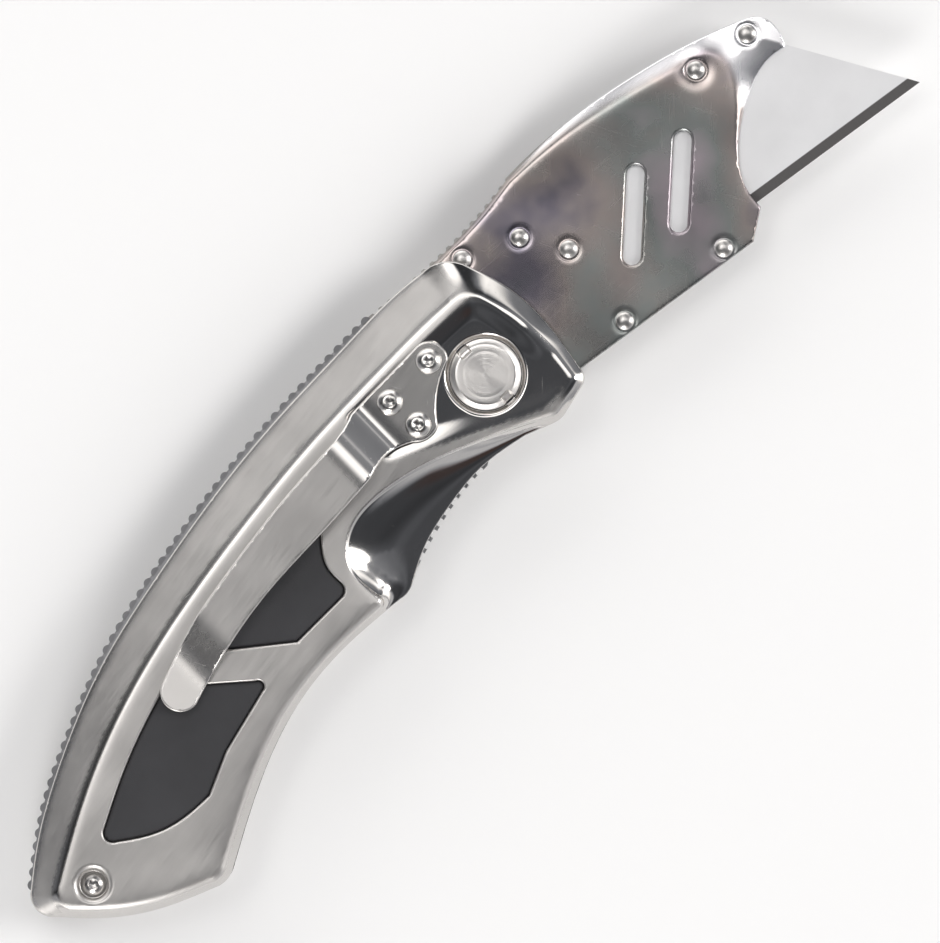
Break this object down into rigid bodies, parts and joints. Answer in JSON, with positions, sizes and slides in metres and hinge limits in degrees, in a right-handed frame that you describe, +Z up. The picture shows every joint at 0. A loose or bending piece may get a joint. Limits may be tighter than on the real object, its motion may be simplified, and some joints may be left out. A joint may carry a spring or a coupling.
{
  "type": "folding utility knife",
  "caption": "Folding utility knife with a polished metal handle, dark grip inlays, a belt clip and a pivoting carrier for a trapezoid blade, shown open.",
  "frame": {"origin": "centre of the open knife's bounding box, on the underside where it lies on its rear side", "axes": "+X from the tail to the blade tip, +Y to the spine, +Z up through the thickness, out of the clip side"},
  "size_m": [0.176, 0.0453, 0.0178],
  "materials": {
    "scale": "satin",
    "inlay": "matte",
    "liner": "satin",
    "bearing_steel": "polished",
    "backspacer": "dark satin",
    "turned_steel": "turned",
    "bronze": "satin",
    "core": "satin",
    "plate": "satin",
    "rivet": "polished",
    "spring_steel": "satin",
    "blade": "satin",
    "clip": "satin",
    "screw": "polished"
  },
  "bodies": {
    "handle": {"front_scale": "scale", "rear_scale": "scale", "front_inlay_aft": "inlay", "front_inlay_fore": "inlay", "rear_inlay_aft": "inlay", "rear_inlay_fore": "inlay", "front_liner": "liner", "rear_liner": "liner", "backspacer": "backspacer", "backspacer_pins": "bearing_steel", "closed_stop_pin": "bearing_steel", "pivot_screw": "turned_steel", "pivot_sleeve": "turned_steel", "pivot_washer": "bronze", "belt_clip_base": "clip", "clip_screws": "screw", "rear_screws": "screw", "tail_screws": "screw", "tail_standoff": "bearing_steel"},
    "lock": {"lock_bar": "liner", "detent_ball": "bearing_steel"},
    "clip": {"belt_clip_arm": "clip"},
    "carrier": {"carrier_core": "core", "carrier_front_plate": "plate", "carrier_rear_plate": "plate", "carrier_rivets": "rivet", "lock_cam": "bearing_steel", "blade_spring": "spring_steel", "blade": "blade"}
  },
  "joints": [
    {"name": "carrier_fold", "type": "hinge", "parent": "handle", "child": "carrier", "pos_m": [0.01288, 0.0039, 0.0072], "axis": [0, 0, -1], "range_deg": [0, 170]},
    {"name": "lock_release", "type": "hinge", "parent": "handle", "child": "lock", "pos_m": [-0.04512, 0.0039, 0.0041], "axis": [0, 1, 0], "range_deg": [0, 1], "stiffness_Nm_per_rad": 3, "springref_deg": -2.86},
    {"name": "clip_flex", "type": "hinge", "parent": "handle", "child": "clip", "pos_m": [-0.00962, 0.0039, 0.01765], "axis": [0, 1, 0], "range_deg": [0, 4], "stiffness_Nm_per_rad": 3.9, "springref_deg": -1.15}
  ]
}
